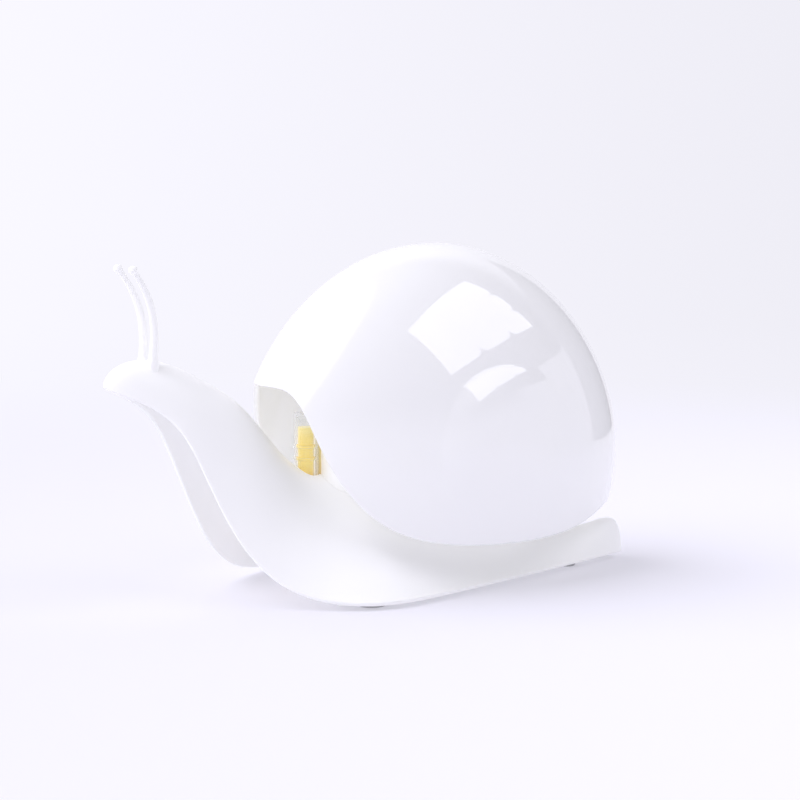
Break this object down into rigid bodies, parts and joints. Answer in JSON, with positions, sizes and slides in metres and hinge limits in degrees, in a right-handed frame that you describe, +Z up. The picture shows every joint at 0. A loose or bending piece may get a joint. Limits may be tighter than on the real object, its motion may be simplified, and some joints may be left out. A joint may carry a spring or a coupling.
{
  "type": "soap dispenser",
  "caption": "Snail-shaped countertop liquid soap dispenser whose domed shell is pressed down to pump soap out under the head.",
  "frame": {"origin": "on the surface it stands on, half way between the nose and the tip of the tail, in the plane of symmetry", "axes": "+Z up, -X towards the head, +Y to the right-hand side of the snail"},
  "size_m": [0.2281, 0.1018, 0.1353],
  "materials": {
    "body_white": "satin moulded white",
    "shell_gloss": "high gloss moulded white",
    "inner_white": "plain moulded white",
    "tank_clear": "clear moulded plastic",
    "soap_yellow": "clear yellow liquid",
    "seal_grey": "soft silicone",
    "pad_rubber": "matte rubber",
    "pump_natural": "natural polypropylene",
    "hose_silicone": "translucent silicone",
    "screw_steel": "zinc plated",
    "spring_steel": "drawn stainless wire",
    "rod_steel": "ground stainless rod",
    "ball_steel": "polished steel"
  },
  "bodies": {
    "base": {"body": "body_white", "base_plate": "inner_white", "base_screws": "screw_steel", "foot_pad_1": "pad_rubber", "foot_pad_2": "pad_rubber", "foot_pad_3": "pad_rubber", "foot_pad_4": "pad_rubber", "antenna_left": "body_white", "antenna_right": "body_white", "tank": "tank_clear", "soap": "soap_yellow", "tank_seal": "seal_grey", "tank_lid": "inner_white", "neck_gasket": "seal_grey", "pump_barrel": "pump_natural", "pump_collar": "inner_white", "ball_cage": "pump_natural", "pump_spring": "spring_steel", "dip_tube": "pump_natural", "hose_upper": "hose_silicone", "hose_joiner": "inner_white", "hose_lower": "hose_silicone", "hose_clip_1": "inner_white", "hose_clip_2": "inner_white", "nozzle": "inner_white", "nozzle_valve": "seal_grey", "guide_rod_left": "rod_steel", "guide_rod_right": "rod_steel"},
    "press_shell": {"shell": "shell_gloss", "press_plate": "inner_white", "shell_screws": "screw_steel", "guide_bush_left": "pump_natural", "guide_bush_right": "pump_natural", "actuator": "inner_white", "pump_stem": "pump_natural", "pump_piston": "pump_natural"},
    "valve_ball": {"foot_valve_ball": "ball_steel"}
  },
  "joints": [
    {"name": "shell_press", "type": "slide", "parent": "base", "child": "press_shell", "axis": [0, 0, 1], "range_m": [-0.008, 0], "stiffness_N_per_m": 250, "springref_m": 0.012, "deforming": ["pump_spring", "hose_upper"]},
    {"name": "ball_lift", "type": "slide", "parent": "base", "child": "valve_ball", "axis": [0, 0, 1], "range_m": [0, 0.0012]}
  ]
}
